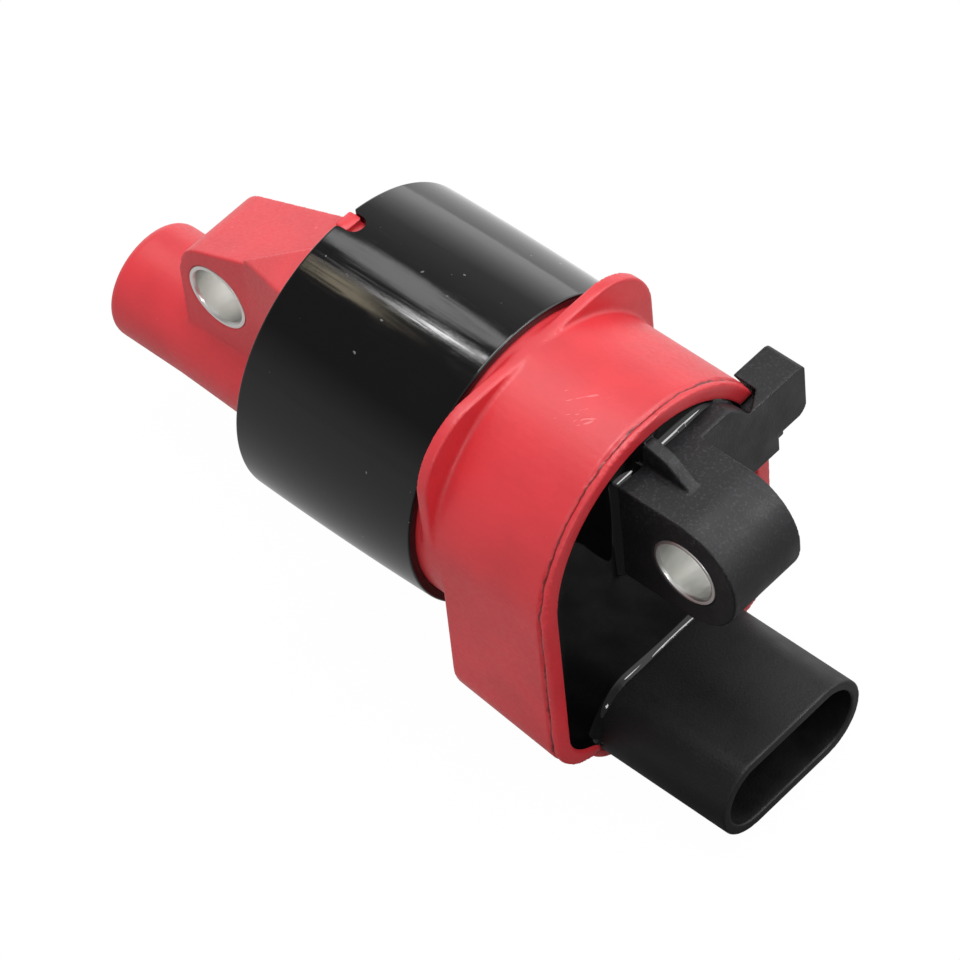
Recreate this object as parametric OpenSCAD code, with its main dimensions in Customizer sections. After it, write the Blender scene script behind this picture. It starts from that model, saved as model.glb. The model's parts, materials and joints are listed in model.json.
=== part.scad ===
// Ignition coil with a cylindrical steel sleeve, two bolt ears, a high-tension tower and a
// five-way connector. Millimetres. The coil axis runs along X towards the connector, the
// bolts run along Y and Z is up. Inside the modules the sleeve's tower-side edge is x = 0 and
// the coil axis is y = z = 0; at() moves the origin to the centre of the tower-end bolt hole.

/* [Sleeve] */
// Outside diameter of the rolled steel sleeve
sleeve_d = 46; // [42:0.5:56]
// Length of the sleeve
sleeve_len = 30.5; // [24:0.5:44]
// Wall of the sleeve
sleeve_wall = 1.4; // [1:0.1:1.8]
// Radial clearance between the sleeve and the housing
sleeve_fit = 0.1; // [0.05:0.05:0.2]
// Width of the slit along the underside of the sleeve
slit_w = 2.4; // [1:0.1:4]
// Width of the locating notch in the sleeve
notch_w = 3.1; // [2:0.1:5]
// Depth of the locating notch
notch_len = 3.3; // [2:0.1:5]
// Clearance round the housing key in the notch
key_fit = 0.15; // [0.05:0.05:0.3]

/* [Housing] */
// Wall of the housing
case_wall = 2.6; // [1.8:0.1:2.9]
// Wall under the rear box
floor_wall = 1.5; // [1.2:0.1:2.6]
// How far the front wall stands out of the sleeve
case_proud = 0.3; // [0.1:0.1:0.8]
// Thickness of the front wall
front_wall = 2.7; // [2:0.1:4]
// Gap between the sleeve and the flange
flange_gap = 1.2; // [0.4:0.1:2]
// Thickness of the flange
flange_t = 1.7; // [1.2:0.1:3]
// Corner radius of the flange
flange_r = 10; // [6:0.5:14]
// Gap between the flange and the rear box
box_gap = 1.0; // [0.5:0.1:3]
// Length of the rear box
box_len = 18; // [16:0.5:26]
// Depth of the rear box below the coil axis, at the open end
box_drop = 32; // [30:0.5:34]
// Corner radius under the rear box
box_r = 8; // [5:0.5:10]
// Rise of the box's underside towards the sleeve
box_slope = 9.5; // [0:0.5:12]
// Height of the thin lip round the open end
lip_len = 0.8; // [0.4:0.1:1.5]
// Step between the wall and the lip
lip_step = 0.35; // [0.1:0.05:0.6]
// Depth of the resin's surface below the rim
pot_depth = 1.2; // [0.8:0.1:2]

/* [Tower] */
// Outside diameter of the tower where the boot seals
tower_d = 17.4; // [15:0.1:19]
// Diameter of the tower at its root
tower_root_d = 19.2; // [17:0.1:20]
// Height of the tower's axis below the coil axis
tower_drop = 16.5; // [15.5:0.1:17.5]
// Length of the tower from the sleeve
tower_len = 40.4; // [36:0.2:50]
// Rounding of the tower's end
tower_round = 1.5; // [0.5:0.1:2]
// Length of the straight part that the boot seals on
seal_len = 12.5; // [8:0.5:13]
// Diameter of the socket in the tower
socket_d = 11.8; // [10:0.1:12.6]
// Depth of the socket
socket_len = 19.6; // [15:0.2:20]
// Diameter of the resin-filled passage behind the socket
passage_d = 8.4; // [6:0.1:9]
// Diameter of the contact post
post_d = 4.8; // [4:0.1:5.4]
// Length of the contact post in the socket
post_len = 9; // [6:0.2:10]
// Diameter of the post's shank
shank_d = 3; // [2:0.1:4]

/* [Bolt ears] */
// Bore of the two metal bushings
bolt_bore = 8.6; // [6.4:0.1:9]
// Outside diameter of the two metal bushings
bushing_d = 10.2; // [9.8:0.1:11.6]
// Chamfer at the mouths of the bushings
bushing_chamfer = 0.4; // [0.2:0.05:0.5]
// Thickness of both ears, which is the length of the bushings
ear_t = 12.6; // [10:0.2:16]
// Distance between the bolt holes along the coil axis
bolt_span = 82.1; // [80:0.1:96]
// How far the tower-end bolt lies in front of the sleeve
front_bolt_x = 19.6; // [17:0.1:22]
// Depth of the tower-end bolt below the coil axis
front_bolt_drop = 0.7; // [0:0.1:2]
// Height of the connector-end bolt above the coil axis
rear_bolt_rise = 5.7; // [4:0.1:7]
// Radius of the tower-end ear round its bolt
front_ear_r = 6.9; // [6.6:0.1:8]
// Distance from the tower-end bolt to the ear's sloping top
front_ear_top = 7.7; // [7:0.1:9]
// Slope of the tower-end ear's top
front_ear_slope = 23.7; // [18:0.1:28]
// Radius of the connector-end ear round its bolt
rear_ear_r = 8.4; // [7.5:0.1:9]
// Distance from the connector-end bolt to the arm's flat top
rear_ear_top = 8.9; // [8:0.1:9.5]

/* [Connector] */
// Width of the connector shroud
shroud_w = 27; // [25:0.1:29]
// Height of the connector shroud, which has round ends
shroud_h = 13; // [12:0.1:14]
// Wall of the connector shroud
shroud_wall = 1.5; // [1.2:0.1:1.9]
// Depth of the shroud's axis below the coil axis
shroud_drop = 30; // [29.5:0.1:30.5]
// Length of the shroud outside the housing
shroud_len = 20.9; // [18:0.1:26]
// Depth of the connector socket
plug_depth = 17.3; // [15:0.1:18]
// Wall of the housing's pocket round the shroud's root
pocket_wall = 1.5; // [1.2:0.1:2]
// Gap between the shroud's root and that pocket
pocket_fit = 0.15; // [0.05:0.05:0.3]
// Pitch of the terminals
pin_pitch = 4; // [3.6:0.1:4.4]
// Width of a terminal blade
pin_w = 1.5; // [1:0.1:1.6]
// Thickness of a terminal blade
pin_t = 0.8; // [0.6:0.1:1]
// Length of a terminal blade in the socket
pin_len = 12; // [9:0.1:13]
// Height of the lock ramp under the shroud
lock_h = 1.4; // [0.8:0.1:1.5]

/* [Core and windings] */
// Diameter of the laminated centre core
core_d = 13; // [11:0.2:13.6]
// Wall of the tube that insulates the core
core_tube_wall = 0.8; // [0.5:0.1:1]
// Thickness of each magnet
magnet_t = 2; // [1.5:0.1:3]
// Thickness of each rubber end buffer
buffer_t = 0.8; // [0.5:0.1:1.2]
// Wall of the secondary bobbin
sec_wall = 0.9; // [0.7:0.1:1.2]
// Running clearance between tubes that slide over each other
slip = 0.1; // [0.05:0.05:0.2]
// Outside diameter of the secondary bobbin's flanges
sec_flange_d = 24.8; // [23:0.1:25.2]
// Thickness of the secondary bobbin's flanges
sec_flange_t = 1; // [0.8:0.1:1.2]
// Number of sections of the secondary winding
sec_sections = 8; // [5:1:10]
// Depth of the secondary winding below its flanges
sec_under = 0.6; // [0.3:0.1:1]
// Gap between the secondary flanges and the primary bobbin
bobbin_gap = 0.5; // [0.3:0.1:0.8]
// Wall of the primary bobbin
pri_wall = 1; // [0.8:0.1:1.2]
// Thickness of the primary bobbin's flanges
pri_flange_t = 1.2; // [0.8:0.1:1.6]
// Radial height of the primary winding
pri_height = 2.7; // [2:0.1:3.4]

/* [Driver] */
// Thickness of the aluminium heat spreader
spreader_t = 1.4; // [1:0.1:2]
// Thickness of the ceramic board
board_t = 0.8; // [0.6:0.1:1]
// Height of the board
board_h = 18; // [15:0.5:18]
// Width of the board
board_w = 21; // [19:0.5:22]
// Space above the board for its parts
parts_gap = 2.3; // [2:0.1:3]
// Thickness of the cover's base plate
base_t = 2.2; // [1.6:0.1:3]
// Clearance round the cover's base plate
base_fit = 0.2; // [0.1:0.05:0.4]
// Thickness of the resin above the base plate
pot_cap_t = 3; // [2:0.1:4]

/* [Hidden] */
$fn = 64;
eps = 0.01;
// radii
sleeve_r = sleeve_d / 2;
case_r = sleeve_r - sleeve_wall - sleeve_fit;
bore_r = case_r - case_wall;
bushing_r = bushing_d / 2;
// stations along the coil axis
case_x0 = -case_proud;
cavity_x0 = case_x0 + front_wall;
flange_x = sleeve_len + flange_gap;
box_x = flange_x + flange_t + box_gap;
rim_x = box_x + box_len;
pot_x = rim_x - pot_depth;
base_x1 = pot_x - pot_cap_t;
base_x0 = base_x1 - base_t;
board_x1 = base_x0 - parts_gap;
board_x0 = board_x1 - board_t;
spreader_x0 = board_x0 - spreader_t;
stack_x1 = spreader_x0 - 1.3;
// bolts and origin
front_bolt = [-front_bolt_x, 0, -front_bolt_drop];
rear_bolt = [bolt_span - front_bolt_x, 0, rear_bolt_rise];
// rear box
box_inner_r = box_r - floor_wall;
box_corner_z = -(box_drop - box_r);
// tower
tower_z = -tower_drop;
tower_x = -tower_len;
socket_x = tower_x + socket_len;
web_t = 1.8;
passage_x = socket_x + web_t;
shank_x1 = socket_x + 9;
diode_len = 7;
diode_d = 3;
lead_d = 1;
strip_t = 0.8;
strip_w = 3;
strip_x1 = cavity_x0 - 0.2;
strip_x0 = strip_x1 - strip_t;
// connector
shroud_z = -shroud_drop;
shroud_x1 = rim_x + shroud_len;
plug_x = shroud_x1 - plug_depth;
pin_x1 = plug_x + pin_len;
pocket_x0 = base_x0 - base_fit;
pocket_x1 = pot_x;
pin_count = 5;
board_row_z = shroud_z + 5;
pin_bend_x = pot_x - 1;
board_z0 = board_row_z - 2;
// wing and guide block beside the connector-end ear
wing_x1 = rim_x + 2.6;
wing_top = rear_bolt_rise + rear_ear_top;
wing_bottom = -1;
tab_top = 9.4;
block_top = 10.8;
block_bottom = 1.8;
block_y1 = case_r + 4.6;
block_x0 = rim_x - 3.4;
block_gap = 0.25;
rib_t = 1.9;
rib_y = -0.55;
// coil stack
core_r = core_d / 2;
core_tube_r = core_r + core_tube_wall;
core_x0 = cavity_x0 + buffer_t + magnet_t;
core_x1 = stack_x1 - buffer_t - magnet_t;
sec_r0 = core_tube_r + slip;
sec_r1 = sec_r0 + sec_wall;
sec_flange_r = sec_flange_d / 2;
sec_wound_r = sec_flange_r - sec_under;
sec_pitch = (stack_x1 - cavity_x0 - sec_flange_t) / sec_sections;
pri_r0 = sec_flange_r + bobbin_gap;
pri_r1 = pri_r0 + pri_wall;
pri_flange_r = bore_r - slip;
pri_wound_r = pri_r1 + pri_height;
lead_r_at = pri_r1 + pri_height / 2;
lead_z = board_z0 + board_h - 1.2;
lead_y = sqrt(lead_r_at * lead_r_at - lead_z * lead_z);

module at() translate(-front_bolt) children();

// Stands a profile drawn in Y and Z along the X axis from x0 to x1.
module along_x(x0, x1) translate([x0, 0, 0]) rotate([90, 0, 90]) linear_extrude(x1 - x0) children();

// Stands a profile drawn in X and Z across the Y axis, centred on y.
module across_y(t, y = 0) translate([0, y + t / 2, 0]) rotate([90, 0, 0]) linear_extrude(t) children();

module rod_x(x0, x1, r, z = 0, y = 0) translate([x0, y, z]) rotate([0, 90, 0]) cylinder(h = x1 - x0, r = r);

module cone_x(x0, x1, r0, r1, z = 0) translate([x0, 0, z]) rotate([0, 90, 0]) cylinder(h = x1 - x0, r1 = r0, r2 = r1);

module ring_x(x0, x1, r0, r1) difference() {
  rod_x(x0, x1, r1);
  rod_x(x0 - 1, x1 + 1, r0);
}

module bolt_rod(centre, r, len) translate(centre) rotate([90, 0, 0]) cylinder(h = len, r = r, center = true);

module box_between(a, b) translate(a) cube(b - a);

module slab_x(x0, x1) box_between([x0, -80, -80], [x1, 80, 80]);

// Outline with round ends, lying flat.
module stadium(w, h) union() {
  square([w - h, h], center = true);
  for (s = [-1, 1]) translate([s * (w - h) / 2, 0]) circle(r = h / 2);
}

// Upper half of a square with rounded corners, made of plain squares and circles.
module soft_arch(half, r) union() {
  translate([-half, 0]) square([2 * half, half - r]);
  translate([-(half - r), 0]) square([2 * (half - r), half]);
  for (s = [-1, 1]) translate([s * (half - r), half - r]) circle(r = r);
}

// Lower part of the rear box: half width, depth and corner radius.
module box_profile(half, drop, r) union() {
  translate([-half, -(drop - r)]) square([2 * half, drop]);
  translate([-(half - r), -drop]) square([2 * (half - r), drop]);
  for (s = [-1, 1]) translate([s * (half - r), -(drop - r)]) circle(r = r);
}

// The box profile swept back from the rim along its rising underside.
module box_sweep(half, drop, r, x0, x1) intersection() {
  translate([rim_x, 0, box_corner_z]) rotate([0, box_slope, 0]) translate([0, 0, -box_corner_z])
    along_x(-2 * box_len, box_len) box_profile(half, drop, r);
  box_between([x0, -80, -80], [x1, 80, 0]);
}

module box_outer(inset, x0, x1) union() {
  rod_x(x0, x1, case_r - inset);
  box_sweep(case_r - inset, box_drop - inset, box_r - inset, x0, x1);
}

// Everything inside the housing wall, shrunk by inset.
module cavity(inset, x1) union() {
  rod_x(cavity_x0, x1, bore_r - inset);
  box_sweep(bore_r - inset, box_drop - floor_wall - inset, box_inner_r - inset, box_x + case_wall + inset, x1);
}

module shroud_body(grow, x0, x1) along_x(x0, x1) translate([0, shroud_z]) stadium(shroud_w + 2 * grow, shroud_h + 2 * grow);

module pocket() intersection() {
  union() {
    shroud_body(pocket_wall, box_x + 5, pocket_x1);
    cone_x(box_x, pocket_x1, box_r, box_r, shroud_z + shroud_h);
  }
  slab_x(box_x + 5, pocket_x1);
}

module front_ear_profile() {
  n = [-sin(front_ear_slope), cos(front_ear_slope)];
  c = [front_bolt[0], front_bolt[2]];
  crown_r = front_ear_r - 1.4;
  crown = c + n * (front_ear_top - crown_r);
  top = c + n * front_ear_top;
  wall_z = top[1] + (case_x0 + 1 - top[0]) * tan(front_ear_slope);
  translate(c) circle(r = front_ear_r);
  translate(crown) circle(r = crown_r);
  polygon([top, [case_x0 + 1, wall_z], [case_x0 + 1, tower_z], [c[0] - 2, tower_z], c]);
  translate([c[0] - front_ear_r, tower_z]) square([front_ear_r, tower_drop - front_bolt_drop]);
}

// Buttress that carries the near side of the ear's top out to the edge of the front wall.
module buttress() {
  x0 = front_bolt[0] + 6.3;
  x1 = case_x0 + 1;
  y0 = -ear_t / 2;
  r = case_r - 0.4;
  hi = [x1, -r * sin(7), r * cos(7)];
  lo = [x1, -r * sin(33), r * cos(33)];
  tip = [x0, y0, hi[2] - 9.6];
  foot = tower_z + 4;
  polyhedron(
    points = [tip, hi, lo, [x0, y0, foot], [x1, hi[1], foot], [x1, lo[1], foot]],
    faces = [[0, 1, 2], [3, 5, 4], [0, 3, 4, 1], [1, 4, 5, 2], [2, 5, 3, 0]]);
}

module key() intersection() {
  box_between([case_x0, notch_y() - notch_w / 2 + key_fit, 0], [notch_len - 1.6, notch_y() + notch_w / 2 - key_fit, sleeve_r]);
  rod_x(case_x0, notch_len, sleeve_r - key_fit);
}

function notch_y() = 0.55;

module tower_end_profile() {
  square([tower_d / 2 - tower_round, seal_len]);
  translate([0, tower_round]) square([tower_d / 2, seal_len - tower_round]);
  translate([tower_d / 2 - tower_round, tower_round]) circle(r = tower_round);
}

module tower_outer() {
  translate([tower_x, 0, tower_z]) rotate([0, 90, 0]) rotate_extrude() tower_end_profile();
  cone_x(tower_x + seal_len, case_x0, tower_d / 2, tower_root_d / 2, tower_z);
}

module housing() color([0.86, 0.16, 0.20]) difference() {
  union() {
    rod_x(case_x0, rim_x - lip_len, case_r);
    box_outer(lip_step, rim_x - lip_len - 1, rim_x);
    along_x(flange_x, flange_x + flange_t) soft_arch(case_r, flange_r);
    box_outer(0, box_x, rim_x - lip_len);
    pocket();
    tower_outer();
    across_y(ear_t) front_ear_profile();
    buttress();
    key();
  }
  cavity(0, rim_x + 1);
  shroud_body(pocket_fit, pocket_x0, rim_x + 1);
  // way out for the wing of the connector cover
  box_between([pot_x + block_gap, bore_r - 4, wing_bottom - 3], [rim_x + 1, case_r + 1, tab_top]);
  rod_x(tower_x - 1, socket_x, socket_d / 2, tower_z);
  rod_x(socket_x - 1, passage_x + 1, shank_d / 2, tower_z);
  rod_x(passage_x, cavity_x0 + eps, passage_d / 2, tower_z);
  box_between([strip_x0 - 0.2, -strip_w / 2 - 0.2, tower_z], [cavity_x0 + 1, strip_w / 2 + 0.2, -sec_r1]);
  bolt_rod(front_bolt, bushing_r, ear_t + 2);
}

module outer_core() color([0.06, 0.06, 0.07]) difference() {
  ring_x(0, sleeve_len, sleeve_r - sleeve_wall, sleeve_r);
  box_between([-1, -slit_w / 2, -sleeve_r - 1], [sleeve_len + 1, slit_w / 2, 0]);
  translate([0, notch_y(), 0]) {
    box_between([-1, -notch_w / 2, 0], [notch_len - notch_w / 2, notch_w / 2, sleeve_r + 1]);
    translate([notch_len - notch_w / 2, 0, 0]) cylinder(h = sleeve_r + 1, r = notch_w / 2);
  }
}

// Profile of the arm from above: flat top, round nose at the bolt.
module arm_profile() {
  c = [rear_bolt[0], rear_bolt[2]];
  translate(c) circle(r = rear_ear_r);
  translate(c + [0, rear_ear_top - rear_ear_r]) circle(r = rear_ear_r);
  translate([base_x1 - 1, c[1] - rear_ear_r])
    square([c[0] - base_x1 + 1, rear_ear_r + rear_ear_top]);
}

module rib_profile() {
  top = bore_r - 0.5;
  polygon([[base_x1, wing_top - 2], [base_x1, top], [rim_x + 0.6, top],
    [rim_x + 3.6, top - 0.8], [rim_x + 7.5, wing_top], [rim_x + 7.5, wing_top - 2]]);
}

module block_profile() {
  h = block_top - block_bottom;
  r = 1.2;
  translate([bore_r - 4, block_bottom]) square([block_y1 - bore_r + 4 - 2, h]);
  translate([block_y1 - 3, block_bottom + 2]) square([3, h - 2 - r]);
  translate([block_y1 - 3, block_top - r - 1]) square([3 - r, r + 1]);
  translate([block_y1 - 2, block_bottom + 2]) circle(r = 2);
  translate([block_y1 - r, block_top - r]) circle(r = r);
}

module wing() {
  // web inside the rim
  intersection() {
    box_between([base_x1 - 1, ear_t / 2 - 1, wing_bottom], [wing_x1, bore_r, wing_top]);
    rod_x(base_x1 - 1, wing_x1, bore_r - base_fit);
  }
  // bridge through the gap in the rim
  box_between([pot_x + 2 * block_gap, bore_r - 5, wing_bottom], [wing_x1, case_r - 1, tab_top - block_gap]);
  // guide block outside the rim
  difference() {
    along_x(block_x0, wing_x1) block_profile();
    rod_x(block_x0 - 1, rim_x + 2 * block_gap, case_r + block_gap);
    translate([rim_x + 2 * block_gap, bore_r, 0]) rotate([0, 0, 30]) box_between([-6, -12, block_bottom - 1], [0, 0, block_top + 1]);
  }
  box_between([wing_x1 - 2.4, case_r - 0.7, block_bottom - 1.7], [wing_x1 - 0.6, case_r + 0.7, block_bottom + 1]);
}

module pin_profile() polygon([
  [board_x1, board_row_z - pin_t / 2], [pin_bend_x - pin_t, board_row_z - pin_t / 2],
  [pin_bend_x - pin_t, shroud_z - pin_t / 2], [pin_x1 - 1, shroud_z - pin_t / 2],
  [pin_x1, shroud_z - pin_t / 8], [pin_x1, shroud_z + pin_t / 8],
  [pin_x1 - 1, shroud_z + pin_t / 2], [pin_bend_x, shroud_z + pin_t / 2],
  [pin_bend_x, board_row_z + pin_t / 2], [board_x1, board_row_z + pin_t / 2]]);

module pin(i) color([0.80, 0.80, 0.78]) across_y(pin_w, (i - (pin_count - 1) / 2) * pin_pitch) pin_profile();

module lock_ramp() across_y(7) polygon([[shroud_x1 - 8, shroud_z - shroud_h / 2 + 1],
  [shroud_x1 - 8, shroud_z - shroud_h / 2 - lock_h], [shroud_x1 - 6.6, shroud_z - shroud_h / 2 - lock_h],
  [shroud_x1 - 3, shroud_z - shroud_h / 2], [shroud_x1 - 3, shroud_z - shroud_h / 2 + 1]]);

module cover_outer() {
  intersection() {
    cavity(base_fit, base_x1);
    slab_x(base_x0, base_x1);
  }
  across_y(ear_t) arm_profile();
  across_y(rib_t, rib_y) rib_profile();
  wing();
  shroud_body(0, base_x0, shroud_x1);
  lock_ramp();
}

module connector_cover() color([0.13, 0.13, 0.14]) difference() {
  cover_outer();
  along_x(plug_x, shroud_x1 + 1) translate([0, shroud_z]) stadium(shroud_w - 2 * shroud_wall, shroud_h - 2 * shroud_wall);
  bolt_rod(rear_bolt, bushing_r, ear_t + 2);
  for (i = [0 : pin_count - 1]) pin(i);
}

module potting() color([0.04, 0.04, 0.05]) difference() {
  intersection() {
    cavity(0, pot_x);
    slab_x(base_x1, pot_x);
  }
  cover_outer();
}

module bushing(centre) color([0.82, 0.82, 0.82]) translate(centre) rotate([90, 0, 0]) rotate_extrude() polygon([
  [bolt_bore / 2, -ear_t / 2 + bushing_chamfer], [bolt_bore / 2 + bushing_chamfer, -ear_t / 2],
  [bushing_r, -ear_t / 2], [bushing_r, ear_t / 2],
  [bolt_bore / 2 + bushing_chamfer, ear_t / 2], [bolt_bore / 2, ear_t / 2 - bushing_chamfer]]);

module tower_bushing() bushing(front_bolt);

module connector_bushing() bushing(rear_bolt);

module centre_core() color([0.45, 0.45, 0.47]) rod_x(core_x0, core_x1, core_r);

module magnet(x0) color([0.30, 0.30, 0.32]) rod_x(x0, x0 + magnet_t, core_r);

module front_magnet() magnet(core_x0 - magnet_t);

module rear_magnet() magnet(core_x1);

module buffer(x0) color([0.15, 0.15, 0.16]) rod_x(x0, x0 + buffer_t, core_r);

module front_buffer() buffer(cavity_x0);

module rear_buffer() buffer(stack_x1 - buffer_t);

module core_tube() color([0.70, 0.55, 0.20]) ring_x(cavity_x0, stack_x1, core_r, core_tube_r);

module secondary_bobbin() color([0.85, 0.82, 0.70]) difference() {
  union() {
    rod_x(cavity_x0, stack_x1, sec_r1);
    for (i = [0 : sec_sections]) rod_x(cavity_x0 + i * sec_pitch, cavity_x0 + i * sec_pitch + sec_flange_t, sec_flange_r);
  }
  rod_x(cavity_x0 - 1, stack_x1 + 1, sec_r0);
  rod_x(cavity_x0 - 1, cavity_x0 + sec_flange_t + eps, lead_d / 2, -sec_wound_r + 1.6);
}

module secondary_winding() color([0.72, 0.36, 0.16]) for (i = [0 : sec_sections - 1])
  ring_x(cavity_x0 + i * sec_pitch + sec_flange_t, cavity_x0 + (i + 1) * sec_pitch, sec_r1, sec_wound_r);

module lead_paths(r) for (s = [-1, 1]) {
  box_between([stack_x1 - pri_flange_t, s * lead_y - r, lead_z - r], [board_x1, s * lead_y + r, lead_z + r]);
  box_between([board_x0, min(s * board_w / 2, s * lead_y), lead_z - r],
    [board_x1, max(s * board_w / 2, s * lead_y), lead_z + r]);
}

module primary_bobbin() color([0.16, 0.16, 0.17]) difference() {
  union() {
    rod_x(cavity_x0, stack_x1, pri_r1);
    rod_x(cavity_x0, cavity_x0 + pri_flange_t, pri_flange_r);
    rod_x(stack_x1 - pri_flange_t, stack_x1, pri_flange_r);
  }
  rod_x(cavity_x0 - 1, stack_x1 + 1, pri_r0);
  lead_paths(board_t / 2);
}

module primary_winding() color([0.66, 0.30, 0.12])
  ring_x(cavity_x0 + pri_flange_t, stack_x1 - pri_flange_t, pri_r1, pri_wound_r);

module winding_resin() color([0.10, 0.10, 0.11])
  ring_x(cavity_x0 + pri_flange_t, stack_x1 - pri_flange_t, pri_wound_r, bore_r);

module ht_terminal() color([0.75, 0.70, 0.50]) {
  rod_x(socket_x - 1, shank_x1, shank_d / 2, tower_z);
  rod_x(socket_x - post_len + 1, socket_x, post_d / 2, tower_z);
  cone_x(socket_x - post_len, socket_x - post_len + 1, post_d / 2 - 0.8, post_d / 2, tower_z);
}

module hv_diode() color([0.20, 0.20, 0.22]) {
  rod_x(shank_x1, shank_x1 + diode_len, diode_d / 2, tower_z);
  rod_x(shank_x1 + diode_len, strip_x0, lead_d / 2, tower_z);
}

module ht_contact() color([0.80, 0.65, 0.35]) {
  box_between([strip_x0, -strip_w / 2, tower_z - 1], [strip_x1, strip_w / 2, -sec_r1 - 1]);
  rod_x(strip_x1 - eps, cavity_x0 + sec_flange_t, lead_d / 2, -sec_wound_r + 1.6);
}

module tower_resin() color([0.10, 0.10, 0.11]) difference() {
  rod_x(passage_x, strip_x0, passage_d / 2, tower_z);
  rod_x(passage_x - 1, shank_x1, shank_d / 2, tower_z);
  rod_x(shank_x1 - eps, shank_x1 + diode_len, diode_d / 2, tower_z);
  rod_x(shank_x1 + diode_len - eps, strip_x0 + 1, lead_d / 2, tower_z);
}

// A flat piece on the board's coil side or parts side: centre y, centre z, width, height.
module chip(x0, t, y, z, w, h) box_between([x0, y - w / 2, z - h / 2], [x0 + t, y + w / 2, z + h / 2]);

module heat_spreader() color([0.75, 0.76, 0.78]) chip(spreader_x0, spreader_t, 0, board_z0 + board_h / 2, board_w - 1, board_h - 1);

module driver_board() color([0.90, 0.90, 0.86]) chip(board_x0, board_t, 0, board_z0 + board_h / 2, board_w, board_h);

module power_transistor() color([0.12, 0.12, 0.13]) {
  chip(board_x1, 1.6, -4.4, board_z0 + board_h - 6, 8, 9);
  chip(board_x1, 0.5, -4.4, board_z0 + board_h - 11, 6, 1.4);
}

module driver_ic() color([0.14, 0.14, 0.15]) {
  chip(board_x1, 1.3, 4.6, board_z0 + board_h - 8, 5, 4);
  for (s = [-1, 1]) for (i = [0 : 3]) chip(board_x1, 0.3, 4.6 - 1.9 + i * 1.27, board_z0 + board_h - 8 + s * 2.5, 0.45, 1);
}

module chip_parts() color([0.62, 0.52, 0.36]) {
  for (i = [0 : 3]) chip(board_x1, 0.7, -8.4 + i * 2.6, board_z0 + 4.6, 1.2, 1.8);
  for (i = [0 : 2]) chip(board_x1, 1.1, 3.2 + i * 2.6, board_z0 + 4.8, 1.6, 2.4);
  chip(board_x1, 1.8, 5, board_z0 + board_h - 3, 4, 2.6);
}

module primary_leads() color([0.70, 0.34, 0.14]) lead_paths(board_t / 2);

at() housing();
at() outer_core();
at() connector_cover();
at() potting();
at() tower_bushing();
at() connector_bushing();
at() centre_core();
at() front_magnet();
at() rear_magnet();
at() front_buffer();
at() rear_buffer();
at() core_tube();
at() secondary_bobbin();
at() secondary_winding();
at() primary_bobbin();
at() primary_winding();
at() winding_resin();
at() ht_terminal();
at() hv_diode();
at() ht_contact();
at() tower_resin();
at() heat_spreader();
at() driver_board();
at() power_transistor();
at() driver_ic();
at() chip_parts();
at() primary_leads();
at() pin(0);  // signal_pin
at() pin(1);  // signal_ground_pin
at() pin(2);  // head_ground_pin
at() pin(3);  // battery_ground_pin
at() pin(4);  // supply_pin
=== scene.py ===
"""Finished look of a bushed ignition coil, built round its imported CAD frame.

Lengths in this file are millimetres unless a name says otherwise. Points are given in the
coil's own frame: x runs along the coil from the sleeve's tower-side edge, y along the bolts
and z up from the coil axis. place() and at() turn them into the frame's metres.
"""

import json
import math

import bmesh
import bpy
import numpy as np
from bpy.props import FloatProperty, FloatVectorProperty, IntProperty, PointerProperty
from mathutils import Matrix, Vector


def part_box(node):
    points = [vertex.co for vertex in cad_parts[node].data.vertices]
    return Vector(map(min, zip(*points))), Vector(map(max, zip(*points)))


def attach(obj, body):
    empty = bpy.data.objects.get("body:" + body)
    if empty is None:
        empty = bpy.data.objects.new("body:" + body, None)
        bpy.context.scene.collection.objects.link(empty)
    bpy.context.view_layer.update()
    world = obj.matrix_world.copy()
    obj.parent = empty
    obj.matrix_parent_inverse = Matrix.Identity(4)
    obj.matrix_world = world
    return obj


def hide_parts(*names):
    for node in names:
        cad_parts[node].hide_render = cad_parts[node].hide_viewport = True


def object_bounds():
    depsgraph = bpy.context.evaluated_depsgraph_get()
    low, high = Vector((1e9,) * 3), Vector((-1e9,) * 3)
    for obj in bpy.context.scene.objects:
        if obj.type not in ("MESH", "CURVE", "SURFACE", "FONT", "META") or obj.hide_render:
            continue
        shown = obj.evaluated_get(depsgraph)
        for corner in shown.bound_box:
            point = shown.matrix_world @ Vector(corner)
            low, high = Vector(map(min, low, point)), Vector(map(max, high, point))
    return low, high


bl_info = {
    "name": "Ignition Coil",
    "version": (1, 0, 0),
    "blender": (4, 5, 0),
    "location": "3D View > Sidebar > Ignition Coil",
    "description": "Builds a moulded, potted ignition coil and its stage round a CAD frame",
    "category": "Add Mesh",
}

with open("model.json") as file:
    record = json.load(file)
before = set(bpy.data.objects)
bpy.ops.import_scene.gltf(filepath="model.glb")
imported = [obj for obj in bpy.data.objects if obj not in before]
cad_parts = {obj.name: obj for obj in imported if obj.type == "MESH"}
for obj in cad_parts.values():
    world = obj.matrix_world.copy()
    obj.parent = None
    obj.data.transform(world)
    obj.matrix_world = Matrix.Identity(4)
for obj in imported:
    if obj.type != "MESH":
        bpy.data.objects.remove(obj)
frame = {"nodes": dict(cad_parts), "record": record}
CAD_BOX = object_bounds()

MM = 0.001


CORE_LO, CORE_HI = (np.array(c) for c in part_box("centre_core"))
SHEET_LO = np.array(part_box("outer_core")[0])
ORIGIN = np.array([SHEET_LO[0], (CORE_LO[1] + CORE_HI[1]) / 2, (CORE_LO[2] + CORE_HI[2]) / 2])


def box_mm(node):
    """Lowest and highest corners of a CAD node in the coil's own frame."""
    lo, hi = (np.array(c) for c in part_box(node))
    return (lo - ORIGIN) / MM, (hi - ORIGIN) / MM


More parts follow.
